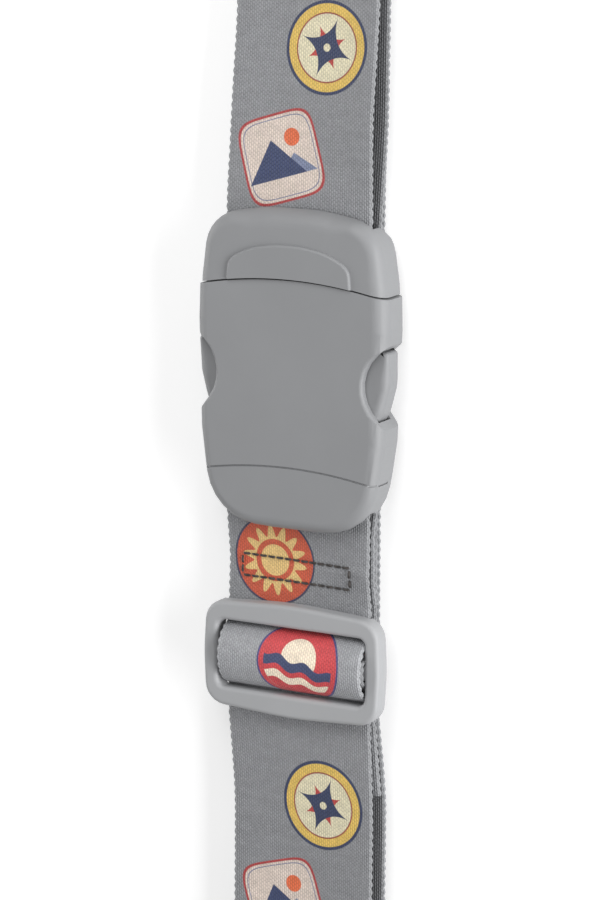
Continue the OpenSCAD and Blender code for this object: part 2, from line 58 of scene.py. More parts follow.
# The loop's folds
FOLD_START = 195.0
FOLD_LEAD = 2.0
FOLD_MID = 246.25
FOLD_Z = 5.75
INNER_FOLD_R = 3.2
OUTER_FOLD_R = 5.0
# The buckle's bars and the webbing round them
BAR_Z = 7.0
BAR_R = 2.65
OVER_BAR = BAR_Z + BAR_R
FEMALE_BAR = -1.5
FEMALE_OUT = -7.3
MALE_BAR = 69.6
MALE_OUT = 83.7
# Where the front layer is lifted off the inner one, above the hood and below the female half
UPPER_AT = 145.0
UPPER_Z = 8.0
LIFT_AT = 108.0
LIFT_Z = 9.2
CHIN_AT = -15.3
CHIN_Z = 9.1
# The hem turned under at the buckle, the end of the sewn layers, and where the webbing starts to go with the
# adjuster
HEM_FOLD = -37.25
HEM_END = -18.55
HEM_CLEAR = -18.25
HEM_Z = 4.65
HEM_R = 0.9
SEWN_TO = -28.6
STRETCH_FROM = -34.6
# The adjuster's middle, the roll of webbing in its window, and the level webbing on both sides
GLIDE = -58.8
OVER_GLIDE = 15.85
ROLL_R = 9.5
CORNER_R = 1.2
ROLL_TOP = GLIDE + ROLL_R + CORNER_R
ROLL_END = GLIDE - ROLL_R - CORNER_R
# Degrees above level at which the roll starts, and below level at which its corners meet it
ROLL_FROM = 8
CORNER_TO = 10
PASS_Z = 8.25
PASS_TOP = -39.2
PASS_END = -78.4
DROP_AT = -165.0
# The adjuster's centre bar, and the webbing's other end, sewn round it
GLIDE_BAR_Z = 11.6
GLIDE_BAR_R = 2.45
GLIDE_BAR_HALF = 1.25
RISE_FROM = GLIDE - 9.9
RISE_TO = GLIDE - 2.05
TAIL_FROM = GLIDE - 10.7
TAIL_Z = 6.3
TAIL_END = -99.5
TAIL_CLEAR = -104.5
TAIL_LEAD = 8.0
# Middles of the two boxes of stitching
SEWN_AT_BUCKLE = -30.2
SEWN_AT_ADJUSTER = -92.5
# Points along one smooth step and one arc of a path
EASE_POINTS = 25
BEND_POINTS = 33
# Scalloped selvedge: length and rise of one scallop, and rows of the mesh along the webbing
SCALLOP = 2.6
SCALLOP_RISE = 0.55
ROW = SCALLOP / 6
# Points across a face of the webbing and round one of its edges, with the corners that they share
FACE_POINTS = 17
EDGE_POINTS = 9
# Distance round the webbing: two flat faces and two half-round edges
ROUND = 2 * (WEBBING_W - WEBBING_T) + math.pi * WEBBING_T

# Sway at places along the webbing: its sideways slip, and how far its right edge moves out along the normal.
# The hem's upper layer lies face down, so its edge rises by a move under 0
STRAIGHT = (0.0, 0.0)
HEM_UNDER = (1.3, 1.8)
HEM_UPPER = (1.3, -1.8)
CHIN = (0.4, 0.2)
SEWN = (0.9, 3.0)
ABOVE_ROLL = (0.6, 0.5)
ROLL = (0.6, 0.0)
FRONT = (3.0, 2.4)
FRONT_LOW = (2.4, 0.0)
LOW_TURN = (1.2, 0.0)
LOW_TURNED = (0.8, 0.0)
BACK_LOW = (0.6, 0.0)
BACK_MIDDLE = (-0.8, 0.0)
BACK_HIGH = (0.2, 0.0)
HIGH_TURN = (0.6, 0.0)
HIGH_TURNED = (1.2, 0.0)
FRONT_HIGH = (2.8, 0.0)
UPPER = (2.6, 4.0)
LIFTED = (1.1, 3.6)
INNER_AT_HOOD = (0.8, 0.0)
INNER_LIFTED = (2.2, 0.0)
INNER_HIGH = (2.8, 0.0)
INNER_LOW_TURN = (1.0, 0.0)
INNER_LOW_TURNED = (1.8, 0.0)
INNER_LOW = (4.4, 0.0)
INNER_LEAD = (4.1, 0.0)
AT_GLIDE_BAR = (0.8, 0.0)
TAIL = (3.6, 0.0)


# Paths of the webbing as points y, z along its middle

def line(*points):
    """Straight runs from point to point."""
    return np.array(points, float)


def ease(start, end):
    """A smooth step: y runs evenly from start to end while z follows 3s^2 - 2s^3."""
    s = np.linspace(0, 1, EASE_POINTS)
    step = s * s * (3 - 2 * s)
    return np.column_stack([start[0] + (end[0] - start[0]) * s, start[1] + (end[1] - start[1]) * step])


def bend(centre, radius, start, end, rise=1.0):
    """An arc: the centre plus the radius times the cosine and sine of an even run of degrees.
    Its height is the radius times the rise."""
    angle = np.radians(np.linspace(start, end, BEND_POINTS))
    return np.column_stack([centre[0] + radius * np.cos(angle), centre[1] + radius * rise * np.sin(angle)])


def lengths(points):
    """Distance of each point from the first, along the path."""
    steps = np.linalg.norm(np.diff(points, axis=0), axis=1)
    return np.concatenate([[0.0], np.cumsum(steps)])


def route(sway, *legs):
    """Joins legs of points, each with the sway at its end, into one path of even steps.
    The sway runs evenly along each leg and is then averaged over 16 mm.
    Gives the length at each step, and its y, z, slip and lift."""
    averaged = 16.0
    same = 1e-6
    rows = []
    sway = np.array(sway)
    for points, end_sway in legs:
        share = lengths(points)[:, None] / lengths(points)[-1]
        rows.append(np.hstack([points, sway + (np.array(end_sway) - sway) * share]))
        sway = np.array(end_sway)
    rows = np.concatenate(rows)
    apart = np.linalg.norm(np.diff(rows[:, :2], axis=0), axis=1) > same
    rows = rows[np.concatenate([[True], apart])]
    along = lengths(rows[:, :2])
    even = np.linspace(0, along[-1], int(round(along[-1] / ROW)) + 1)
    rows = np.column_stack([np.interp(even, along, column) for column in rows.T])
    half = int(averaged / 2 / ROW)
    window = np.full(2 * half + 1, 1 / (2 * half + 1))
    for k in (2, 3):
        padded = np.pad(rows[:, k], half, mode="reflect", reflect_type="odd")
        rows[:, k] = np.convolve(padded, window, mode="valid")
    return even, rows


# Meshes

def put_mesh(name, points, faces, material):
    """A mesh object from points in millimetres, smooth but for edges over 50 degrees."""
    mesh = bpy.data.meshes.new(name)
    mesh.from_pydata((points * MM).tolist(), [], faces)
    mesh.materials.append(material)
    mesh.shade_smooth()
    mesh.set_sharp_from_angle(angle=math.radians(50))
    piece = bpy.data.objects.new(name, mesh)
    scene.collection.objects.link(piece)
    return piece


def tube(rings, columns):
    """Faces of a closed tube of points: quads from each ring to the next, and a cap for each end.
    The points run round the tube's direction by the right hand, so that the faces look outwards."""
    ring, place = np.meshgrid(np.arange(rings - 1), np.arange(columns), indexing="ij")
    after = (place + 1) % columns
    here = ring * columns
    there = here + columns
    quads = np.stack([here + place, here + after, there + after, there + place], axis=-1).reshape(-1, 4)
    first = np.arange(columns)[::-1]
    last = (rings - 1) * columns + np.arange(columns)
    return quads, first, last


def ribbon(name, start, path, material):
    """Webbing along a path: the profile is a flat band with half-round edges, a loop of points a across and
    b out. Each point is middle + a across + (b + lift * (a / width + 1/2)^2) * normal, where the normal is
    the path's direction turned by 90 degrees. The edges swell by |sin| - 1/2 and |cos| - 1/2 of the length,
    half a scallop apart. The map called weave holds the distance round the profile and the length from the
    webbing's first end."""
    even, rows = path
    v = start + even
    direction = np.gradient(rows[:, :2], axis=0)
    direction /= np.linalg.norm(direction, axis=1)[:, None]
    normal = np.column_stack([direction[:, 1], -direction[:, 0]])
    r = WEBBING_T / 2
    flat = WEBBING_W / 2 - r
    face = np.linspace(flat, -flat, FACE_POINTS)
    top = np.full(FACE_POINTS, r)
    still = np.zeros(FACE_POINTS)
    turn = np.radians(np.linspace(90, 270, EDGE_POINTS))[1:-1]
    a = np.concatenate([face, r * np.cos(turn) - flat, -face, flat - r * np.cos(turn)])
    b = np.concatenate([top, r * np.sin(turn), -top, -r * np.sin(turn)])
    outward = np.concatenate([still, np.cos(turn), still, -np.cos(turn)])
    left = np.abs(np.cos(np.pi * v / SCALLOP))[:, None] - 0.5
    right = np.abs(np.sin(np.pi * v / SCALLOP))[:, None] - 0.5
    swell = np.where(outward < 0, left, right) * outward * SCALLOP_RISE
    rise = b + rows[:, 3:4] * (a / WEBBING_W + 0.5) ** 2
    x = rows[:, 2:3] + a + swell
    y = rows[:, 0:1] + normal[:, 0:1] * rise
    z = rows[:, 1:2] + normal[:, 1:2] * rise
    points = np.stack([x, y, z], axis=-1).reshape(-1, 3)
    quads, first, last = tube(len(v), len(a))
    piece = put_mesh(name, points, quads.tolist() + [first.tolist(), last.tolist()], material)
    # the map goes on past the last column, so that the seam doesn't run back
    u = flat - lengths(np.column_stack([np.append(a, a[0]), np.append(b, b[0])]))
    i, j = np.meshgrid(np.arange(len(v) - 1), np.arange(len(a)), indexing="ij")
    corners = [np.stack([u[j + k], v[i + m]], axis=-1) for k, m in ((0, 0), (1, 0), (1, 1), (0, 1))]
    sides = np.stack(corners, axis=2).reshape(-1, 2)
    first_cap = np.column_stack([a[::-1], np.full(len(a), v[0])])
    last_cap = np.column_stack([a, np.full(len(a), v[-1])])
    spots = np.concatenate([sides, first_cap, last_cap]) * MM
    weave = piece.data.uv_layers.new(name="weave")
    weave.data.foreach_set("uv", spots.ravel().astype(np.float32))
    return piece


def on_cloth(rows, places):
    """Heights of the cloth's outer face at places x, y: a path's middle, its lift and half the thickness."""
    run = rows[::-1]
    middle = np.interp(places[:, 1], run[:, 0], run[:, 1])
    lift = np.interp(places[:, 1], run[:, 0], run[:, 3])
    return middle + lift * (places[:, 0] / WEBBING_W + 0.5) ** 2 + WEBBING_T / 2


def stitches(name, y, run, material):
    """A box of stitches at y on the cloth of a path, each a round cord along s from -1 to 1.
    Its middle is at length * s / 2 and rise * (1 - s^2), and its radius draws in as s^6 at the ends."""
    pitch = 2.96
    box_w = 38.5
    box_h = 7.0
    wide = 13
    high = 2
    rows = (np.arange(wide) - (wide - 1) / 2) * pitch
    ends = y + (np.arange(high) - (high - 1) / 2) * pitch
    places = np.concatenate(
        [np.column_stack([rows, np.full(wide, y + side * box_h / 2)]) for side in (-1, 1)]
        + [np.column_stack([np.full(high, side * box_w / 2), ends]) for side in (-1, 1)])
    turned = np.arange(len(places)) >= 2 * wide
    length = 2.45
    radius = 0.4
    drawn_in = 0.45
    rise = 0.34
    sunk = 0.08
    rings = 9
    columns = 8
    s = np.linspace(-1, 1, rings)
    angle = np.linspace(0, 2 * np.pi, columns, endpoint=False)
    thick = radius * (1 - drawn_in * s ** 6)
    along = np.broadcast_to((length / 2 * s)[:, None], (rings, columns))
    side = thick[:, None] * np.cos(angle)
    up = rise * (1 - s * s)[:, None] + thick[:, None] * np.sin(angle) - sunk
    straight = np.stack([along, side, up], axis=-1).reshape(-1, 3)
    crossed = np.stack([-side, along, up], axis=-1).reshape(-1, 3)
    shapes = np.where(turned[:, None, None], crossed, straight)
    points = shapes + np.column_stack([places, on_cloth(run, places)])[:, None, :]
    offset = np.arange(len(places))[:, None] * rings * columns
    quads, first, last = tube(rings, columns)
    faces = (offset[:, :, None] + quads).reshape(-1, 4).tolist()
    faces += (offset + first).tolist() + (offset + last).tolist()
    piece = put_mesh(name, points.reshape(-1, 3), faces, material)
    return piece


def rounded(mesh):
    """Gives each corner of each face the mean normal of the faces round its point, by area.
    Only faces within 30 degrees of its own count, so sharp edges stay sharp and flat faces flat."""
    least_cosine = math.cos(math.radians(30))
    corners = len(mesh.loops)
    faces = len(mesh.polygons)
    point = np.empty(corners, int)
    sides = np.empty(faces, int)
    normal = np.empty(3 * faces)
    area = np.empty(faces)
    mesh.loops.foreach_get("vertex_index", point)
    mesh.polygons.foreach_get("loop_total", sides)
    mesh.polygons.foreach_get("normal", normal)
    mesh.polygons.foreach_get("area", area)
    face = np.repeat(np.arange(faces), sides)
    normal = normal.reshape(-1, 3)
    # each corner is paired with every corner at the same point
    by_point = np.argsort(point, kind="stable")
    shared = np.bincount(point)
    first = np.cumsum(shared) - shared
    partners = shared[point]
    corner = np.repeat(np.arange(corners), partners)
    turn = np.arange(len(corner)) - np.repeat(np.cumsum(partners) - partners, partners)
    other = by_point[first[point[corner]] + turn]
    alike = np.sum(normal[face[corner]] * normal[face[other]], axis=1) > least_cosine
    mean = np.zeros((corners, 3))
    np.add.at(mean, corner, normal[face[other]] * (area[face[other]] * alike)[:, None])
    mean /= np.linalg.norm(mean, axis=1)[:, None]
    mesh.shade_smooth()
    mesh.normals_split_custom_set(mean.tolist())


def moulding(name, node, body, material):
    """A smooth copy of a moulded solid: loose triangles are joined, and those in one plane make one face."""
    joined = 0.03 * MM
    flat_within = math.radians(0.4)
    mesh = bmesh.new()
    mesh.from_mesh(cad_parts[node].data)
    bmesh.ops.remove_doubles(mesh, verts=mesh.verts, dist=joined)
    bmesh.ops.dissolve_degenerate(mesh, edges=mesh.edges, dist=joined)
    bmesh.ops.dissolve_limit(mesh, angle_limit=flat_within, verts=mesh.verts, edges=mesh.edges)
    copy = bpy.data.meshes.new(name)
    mesh.to_mesh(copy)
    mesh.free()
    copy.materials.clear()
    copy.materials.append(material)
    rounded(copy)
    piece = bpy.data.objects.new(name, copy)
    scene.collection.objects.link(piece)
    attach(piece, body)
    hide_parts(node)


# Materials

# Sockets of a colour mix: the colour below and the one laid on it
UNDER = 6
OVER = 7


def srgb(code):
    """Linear red, green, blue and alpha from an sRGB hex colour."""
    values = np.array([int(code[k:k + 2], 16) for k in (1, 3, 5)]) / 255
    linear = np.where(values <= 0.04045, values / 12.92, ((values + 0.055) / 1.055) ** 2.4)
    return (*linear.tolist(), 1.0)


def add(tree, kind, inputs=None, **settings):
    """Adds one node with its settings. Each input takes a value, or a link from a socket or from a node.
    A node gives the first of its outputs that is in use."""
    node = tree.nodes.new(kind)
    for key, value in settings.items():
        setattr(node, key, value)
    for key, value in (inputs or {}).items():
        if isinstance(value, bpy.types.Node):
            value = next(output for output in value.outputs if output.enabled)
        if isinstance(value, bpy.types.NodeSocket):
            tree.links.new(value, node.inputs[key])
        else:
            node.inputs[key].default_value = value
    return node


def blank(name):
    """A new material with an empty tree."""
    material = bpy.data.materials.new(name)
    material.use_nodes = True
    material.node_tree.nodes.clear()
    return material, material.node_tree


def power_distance(tree, spot, power):
    """(|x|^p + |y|^p)^(1/p): its level lines are stars for a power under 1, rounded squares well over 2."""
    size = add(tree, "ShaderNodeVectorMath", {0: spot}, operation="ABSOLUTE")
    sides = add(tree, "ShaderNodeSeparateXYZ", {0: size})
    x = add(tree, "ShaderNodeMath", {0: sides.outputs[0], 1: power}, operation="POWER")
    y = add(tree, "ShaderNodeMath", {0: sides.outputs[1], 1: power}, operation="POWER")
    total = add(tree, "ShaderNodeMath", {0: x, 1: y}, operation="ADD")
    return add(tree, "ShaderNodeMath", {0: total, 1: 1 / power}, operation="POWER")


# Badges. Each function gets a spot from the badge's middle in mm, as a vector, as x and y and as a radius.
# It gives inks as a value, the limit that the value is under where the ink lies, and a colour

def compass(tree, spot, x, y, radius):
    """Inks of a compass: a ring, a small slanting star under a large upright one, and a hub."""
    slant = add(tree, "ShaderNodeVectorRotate", {"Vector": spot, "Angle": math.pi / 4},
                rotation_type="Z_AXIS")
    return [(radius, 13.0, "#2E3857"), (radius, 12.1, "#D6B45A"), (radius, 9.7, "#8E3B36"),
            (radius, 9.3, "#D8D0B2"), (power_distance(tree, slant, 0.62), 6.6, "#B4403B"),
            (power_distance(tree, spot, 0.55), 9.0, "#2E3857"), (radius, 1.1, "#D8D0B2")]


def mountain(tree, spot, x, y, radius):
    """Inks of a mountain: a framed rounded square, a sun, and two sloping peaks with a level foot."""
    foot_y = -5.6
    square = power_distance(tree, spot, 5.0)
    sun = add(tree, "ShaderNodeVectorMath", {0: spot, 1: (4.6, 4.8, 0)}, operation="DISTANCE")
    inks = [(square, 12.4, "#A93A3B"), (square, 11.7, "#D3C4B9"), (square, 11.0, "#6E7390"),
            (square, 10.75, "#D3C4B9"), (sun, 2.5, "#D9693F")]
    for peak, height, slope, ink in ((4.2, 0.4, 0.95, "#77809B"), (-2.2, 5.4, 1.2, "#343F63")):
        off = add(tree, "ShaderNodeMath", {0: x, 1: peak}, operation="SUBTRACT")
        off = add(tree, "ShaderNodeMath", {0: off}, operation="ABSOLUTE")
        edge = add(tree, "ShaderNodeMath", {0: off, 1: slope, 2: y}, operation="MULTIPLY_ADD")
        foot = add(tree, "ShaderNodeMath", {0: foot_y + height, 1: y}, operation="SUBTRACT")
        inks.append((add(tree, "ShaderNodeMath", {0: edge, 1: foot}, operation="MAXIMUM"), height, ink))
    return inks


def sunburst(tree, spot, x, y, radius):
    """Inks of a sunburst: a ring, rays whose reach swings by a sine of the angle, and two discs."""
    rays = 14.0
    swing = 1.7
    angle = add(tree, "ShaderNodeMath", {0: y, 1: x}, operation="ARCTAN2")
    wave = add(tree, "ShaderNodeMath", {0: angle, 1: rays}, operation="MULTIPLY")
    wave = add(tree, "ShaderNodeMath", {0: wave}, operation="SINE")
    burst = add(tree, "ShaderNodeMath", {0: wave, 1: swing, 2: radius}, operation="MULTIPLY_ADD")
    return [(radius, 13.0, "#3A3D55"), (radius, 12.4, "#C4563A"), (burst, 8.6, "#DDBB7A"),
            (radius, 6.2, "#C4563A"), (radius, 4.6, "#DDBB7A")]


def waves(tree, spot, x, y, radius):
    """Inks of a sun over waves: a ring, a disc, and bands inside the ring whose crests follow a sine."""
    inside = 10.9
    swell = -0.7
    turn_per_mm = 0.75
    sun = add(tree, "ShaderNodeVectorMath", {0: spot, 1: (0, 1.5, 0)}, operation="DISTANCE")
    inks = [(radius, 13.0, "#3A3D6B"), (radius, 12.4, "#B23A3E"), (sun, 5.6, "#D3C5B1")]
    wave = add(tree, "ShaderNodeMath", {0: x, 1: turn_per_mm}, operation="MULTIPLY")
    wave = add(tree, "ShaderNodeMath", {0: wave}, operation="SINE")
    level = add(tree, "ShaderNodeMath", {0: wave, 1: swell, 2: y}, operation="MULTIPLY_ADD")
    ring = add(tree, "ShaderNodeMath", {0: radius, 1: inside}, operation="SUBTRACT")
    for crest, ink in ((0.4, "#333C5C"), (-2.4, "#B23A3E"), (-4.0, "#D3C5B1"), (-6.4, "#B23A3E")):
        height = add(tree, "ShaderNodeMath", {0: level, 1: crest}, operation="SUBTRACT")
        inks.append((add(tree, "ShaderNodeMath", {0: height, 1: ring}, operation="MAXIMUM"), 0.0, ink))
    return inks


# Each badge's place across and along the webbing in mm, and its turn in radians
BADGES = ((compass, 7.5, 20.0, 0.35), (mountain, -6.5, 54.0, -0.3), (sunburst, -8.5, 92.0, 0.0),
          (waves, 3.5, 126.0, 0.2))
# Length of webbing that the badges repeat after, their scale, and half the width of an ink's soft edge
BADGES_REPEAT = 156.0
BADGE_SCALE = 1.1
INK_EDGE = 0.14


def printed_badges(tree, colour, across, along):
    """The badges printed on the cloth, repeated along it.
    Each is a stack of inks, laid one on the other where a distance or a height is under its limit in mm."""
    for badge, place_u, place_v, turn in BADGES:
        u = add(tree, "ShaderNodeMath", {0: across, 1: place_u}, operation="SUBTRACT")
        v = add(tree, "ShaderNodeMath", {0: place_v, 1: along}, operation="SUBTRACT")
        v = add(tree, "ShaderNodeMath", {0: v, 1: BADGES_REPEAT / 2, 2: -BADGES_REPEAT / 2}, operation="WRAP")
        spot = add(tree, "ShaderNodeCombineXYZ", {0: u, 1: v})
        spot = add(tree, "ShaderNodeVectorRotate", {"Vector": spot, "Angle": turn}, rotation_type="Z_AXIS")
        spot = add(tree, "ShaderNodeVectorMath", {0: spot, "Scale": 1 / BADGE_SCALE}, operation="SCALE")
        sides = add(tree, "ShaderNodeSeparateXYZ", {0: spot})
        radius = add(tree, "ShaderNodeVectorMath", {0: spot}, operation="LENGTH")
        for value, limit, ink in badge(tree, spot, sides.outputs[0], sides.outputs[1], radius):
            cover = add(tree, "ShaderNodeMapRange",
                        {"Value": value, "From Min": limit - INK_EDGE, "From Max": limit + INK_EDGE,
                         "To Min": 1, "To Max": 0}, interpolation_type="SMOOTHSTEP")
            colour = add(tree, "ShaderNodeMix", {"Factor": cover, UNDER: colour, OVER: srgb(ink)},
                         data_type="RGBA")
    return colour


def polyester_webbing(name, along_from=None, painted_sheen_at=None):
    """Plain-woven polyester webbing: columns of short yarns, half a yarn apart, with the gaps between them
    darkened as painted shade.
    The eye gets a fine grey fleck, each yarn a little lighter or darker than the next, a lighter corded
    selvedge that is partly its own yarn and partly a painted highlight, badges printed into the outer face,
    and a back darkened as painted shade.
    The yarns are drawn coarser than real ones, so that they show.
    Where along_from is given, the pattern keeps to that length minus y, so that it doesn't stretch.
    Near a bar at the given place the cloth is lighter: a painted sheen for the yarns that lie flat where the
    webbing is drawn taut round it."""
    # a column's width and a yarn's length in mm, and how far a column may be off, as a share of a yarn
    column_w = 0.75
    yarn_l = 1.2
    loose_by = 0.16
    # powers that shape the crowns of columns and yarns
    column_crown = 1.8
    yarn_crown = 0.7
    # strength of the fleck, and scale of the streaks across the webbing
    fleck = 0.14
    streak_across = 0.25
    material, tree = blank(name)
    place = add(tree, "ShaderNodeTexCoord").outputs["Object"]
    spot = add(tree, "ShaderNodeSeparateXYZ", {0: place}).outputs[1]
    weave = add(tree, "ShaderNodeSeparateXYZ", {0: add(tree, "ShaderNodeUVMap", uv_map="weave")})
    across = add(tree, "ShaderNodeMath", {0: weave.outputs[0], 1: 1 / MM}, operation="MULTIPLY")
    across = add(tree, "ShaderNodeMath", {0: across, 1: ROUND / 2, 2: -ROUND / 2}, operation="WRAP")
    if along_from is None:
        along = add(tree, "ShaderNodeMath", {0: weave.outputs[1], 1: 1 / MM}, operation="MULTIPLY")
    else:
        along = add(tree, "ShaderNodeMath", {0: spot, 1: -1 / MM, 2: along_from}, operation="MULTIPLY_ADD")
    # columns of warp yarns, each yarn half a length from those beside it, and a little off
    column = add(tree, "ShaderNodeMath", {0: across, 1: 1 / column_w}, operation="MULTIPLY")
    warp = add(tree, "ShaderNodeMath", {0: column}, operation="FLOOR")
    pick = add(tree, "ShaderNodeMath", {0: along, 1: 1 / yarn_l}, operation="MULTIPLY")
    pick = add(tree, "ShaderNodeMath", {0: warp, 1: 0.5, 2: pick}, operation="MULTIPLY_ADD")
    loose = add(tree, "ShaderNodeTexWhiteNoise", {"W": warp}, noise_dimensions="1D")
    pick = add(tree, "ShaderNodeMath", {0: loose, 1: loose_by, 2: pick}, operation="MULTIPLY_ADD")
    weft = add(tree, "ShaderNodeMath", {0: pick}, operation="FLOOR")
    crowns = []
    for share, power in ((column, column_crown), (pick, yarn_crown)):
        share = add(tree, "ShaderNodeMath", {0: share}, operation="FRACT")
        share = add(tree, "ShaderNodeMath", {0: share, 1: math.pi}, operation="MULTIPLY")
        share = add(tree, "ShaderNodeMath", {0: share}, operation="SINE")
        crowns.append(add(tree, "ShaderNodeMath", {0: share, 1: power}, operation="POWER"))
    height = add(tree, "ShaderNodeMath", {0: crowns[0], 1: crowns[1]}, operation="MULTIPLY")
    cell = add(tree, "ShaderNodeCombineXYZ", {0: warp, 1: weft})
    chance = add(tree, "ShaderNodeTexWhiteNoise", {"Vector": cell}, noise_dimensions="2D")
    # soft streaks across the webbing, lighter and darker at random, four times as long as wide
    streak = add(tree, "ShaderNodeMath", {0: across, 1: streak_across}, operation="MULTIPLY")
    streak = add(tree, "ShaderNodeCombineXYZ", {0: streak, 1: along})
    cloud = add(tree, "ShaderNodeTexNoise",
                {"Vector": streak, "Scale": 0.35, "Detail": 4.0, "Roughness": 0.65})
    colour = printed_badges(tree, srgb("#86878A"), across, along)
    # distance past the middle of the nearer edge: under 0 on the outer face and over 0 on the back
    past = add(tree, "ShaderNodeMath", {0: across}, operation="ABSOLUTE")
    past = add(tree, "ShaderNodeMath", {0: past, 1: ROUND / 4}, operation="SUBTRACT")
    # the lighter cord, partly the selvedge's own yarn and partly painted highlight on the edge, fades out by
    # 1.6 mm on both sides of that middle
    edge = add(tree, "ShaderNodeMath", {0: past}, operation="ABSOLUTE")
    cord = add(tree, "ShaderNodeMapRange",
               {"Value": edge, "From Min": 0.5, "From Max": 1.6, "To Min": 0.2, "To Max": 0.0})
    colour = add(tree, "ShaderNodeMix", {"Factor": cord, UNDER: colour, OVER: srgb("#B4B6B8")},
                 data_type="RGBA")
    # painted light and shade of the weave: the yarns' crowns lighter, the gaps between them darker
    shade = add(tree, "ShaderNodeMapRange",
                {"Value": height, "From Min": 0.0, "From Max": 1.0, "To Min": 0.83, "To Max": 1.14})
    shade = add(tree, "ShaderNodeMath", {0: chance, 1: fleck, 2: shade}, operation="MULTIPLY_ADD")
    # painted shade: the back, which faces the inner layers, is darkened, fully from 2 mm past the middle of
    # the edge
    painted_back_shade = add(tree, "ShaderNodeMapRange",
               {"Value": past, "From Min": 0.2, "From Max": 2.0, "To Min": 1.0, "To Max": 0.55})
    shade = add(tree, "ShaderNodeMath", {0: shade, 1: painted_back_shade}, operation="MULTIPLY")
    if painted_sheen_at is not None:
        # painted sheen: the cloth is lightened fully within 7 mm of the bar, and not at all from 12
        off = add(tree, "ShaderNodeMath", {0: spot, 1: 1 / MM, 2: -painted_sheen_at}, operation="MULTIPLY_ADD")
        off = add(tree, "ShaderNodeMath", {0: off}, operation="ABSOLUTE")
        painted_sheen = add(tree, "ShaderNodeMapRange",
                    {"Value": off, "From Min": 7.0, "From Max": 12.0, "To Min": 1.38, "To Max": 1.0})
        shade = add(tree, "ShaderNodeMath", {0: shade, 1: painted_sheen}, operation="MULTIPLY")
    tone = add(tree, "ShaderNodeMapRange",
               {"Value": cloud, "From Min": 0.3, "From Max": 0.7, "To Min": 0.92, "To Max": 1.06})
    shade = add(tree, "ShaderNodeMath", {0: shade, 1: tone}, operation="MULTIPLY")
    colour = add(tree, "ShaderNodeMix", {"Factor": 1.0, UNDER: colour, OVER: shade}, data_type="RGBA",
                 blend_type="MULTIPLY")
    bump = add(tree, "ShaderNodeBump", {"Strength": 0.8, "Distance": 0.00025, "Height": height})
    surface = add(tree, "ShaderNodeBsdfPrincipled",
                  {"Base Color": colour, "Roughness": 0.55, "IOR": 1.5, "Sheen Weight": 0.15,
                   "Sheen Roughness": 0.4, "Normal": bump})
    add(tree, "ShaderNodeOutputMaterial", {"Surface": surface})
    return material


def moulded_plastic(name, colour, roughness):
    """Injection-moulded acetal from a spark-eroded tool: an even grey with a very fine matt grain.
    The grain is 0.35 mm here, coarser than the real one, so that it shows in the render."""
    duller = 0.06
    shinier = 0.05
    material, tree = blank(name)
    place = add(tree, "ShaderNodeTexCoord").outputs["Object"]
    grain = add(tree, "ShaderNodeTexNoise",
                {"Vector": place, "Scale": 2900.0, "Detail": 2.0, "Roughness": 0.6})
    cloud = add(tree, "ShaderNodeTexNoise",
                {"Vector": place, "Scale": 45.0, "Detail": 3.0, "Roughness": 0.55})
    tone = add(tree, "ShaderNodeMapRange",
               {"Value": cloud, "From Min": 0.3, "From Max": 0.7, "To Min": 0.975, "To Max": 1.02})
    tint = add(tree, "ShaderNodeMix", {"Factor": 1.0, UNDER: srgb(colour), OVER: tone}, data_type="RGBA",
               blend_type="MULTIPLY")
    matt = add(tree, "ShaderNodeMapRange",
               {"Value": grain, "From Min": 0.3, "From Max": 0.7, "To Min": roughness - shinier,
                "To Max": roughness + duller})
    bump = add(tree, "ShaderNodeBump", {"Strength": 0.25, "Distance": 0.00004, "Height": grain})
    surface = add(tree, "ShaderNodeBsdfPrincipled",
                  {"Base Color": tint, "Roughness": matt, "IOR": 1.48, "Normal": bump})
    add(tree, "ShaderNodeOutputMaterial", {"Surface": surface})
    return material


def sewing_thread():
    """Twisted polyester sewing thread: dark grey-brown, with slanting bands for its plies.
    They are 2 mm apart along a stitch, coarser than real plies, so that they show."""
    material, tree = blank("polyester_thread")
    place = add(tree, "ShaderNodeTexCoord").outputs["Object"]
    plies = add(tree, "ShaderNodeTexWave",
                {"Vector": place, "Scale": 320.0, "Distortion": 1.0, "Detail": 1.0},
                wave_type="BANDS", bands_direction="DIAGONAL").outputs["Fac"]
    colour = add(tree, "ShaderNodeMix", {"Factor": plies, UNDER: srgb("#231F1D"), OVER: srgb("#403A37")},
                 data_type="RGBA")
    bump = add(tree, "ShaderNodeBump", {"Strength": 0.5, "Distance": 0.0001, "Height": plies})
    surface = add(tree, "ShaderNodeBsdfPrincipled",
                  {"Base Color": colour, "Roughness": 0.6, "Sheen Weight": 0.1, "Normal": bump})
    add(tree, "ShaderNodeOutputMaterial", {"Surface": surface})
    return material


def white_board():
    """Matt white board. To the camera it also glows a little, so that it is white where the light is even."""
    glow = 0.4
    material, tree = blank("white_board")
    path = add(tree, "ShaderNodeLightPath").outputs
    seen = add(tree, "ShaderNodeMath", {0: path["Is Camera Ray"], 1: path["Is Glossy Ray"]},
               operation="MAXIMUM")
    seen = add(tree, "ShaderNodeMath", {0: seen, 1: path["Is Transmission Ray"]}, operation="MAXIMUM")
    strength = add(tree, "ShaderNodeMath", {0: seen, 1: glow}, operation="MULTIPLY")
    board = add(tree, "ShaderNodeBsdfDiffuse", {"Color": srgb("#E6E6E6")})
    light = add(tree, "ShaderNodeEmission", {"Color": srgb("#FFFFFF"), "Strength": strength})
    both = add(tree, "ShaderNodeAddShader", {0: board, 1: light})
    add(tree, "ShaderNodeOutputMaterial", {"Surface": both})
    return material


webbing_cloth = polyester_webbing("polyester_webbing")
buckle_plastic = moulded_plastic("moulded_acetal_grey", "#8B8C8E", 0.5)
adjuster_plastic = moulded_plastic("moulded_acetal_light_grey", "#A3A4A6", 0.48)
thread = sewing_thread()

# Webbing, in the order of its length from the end sewn at the buckle

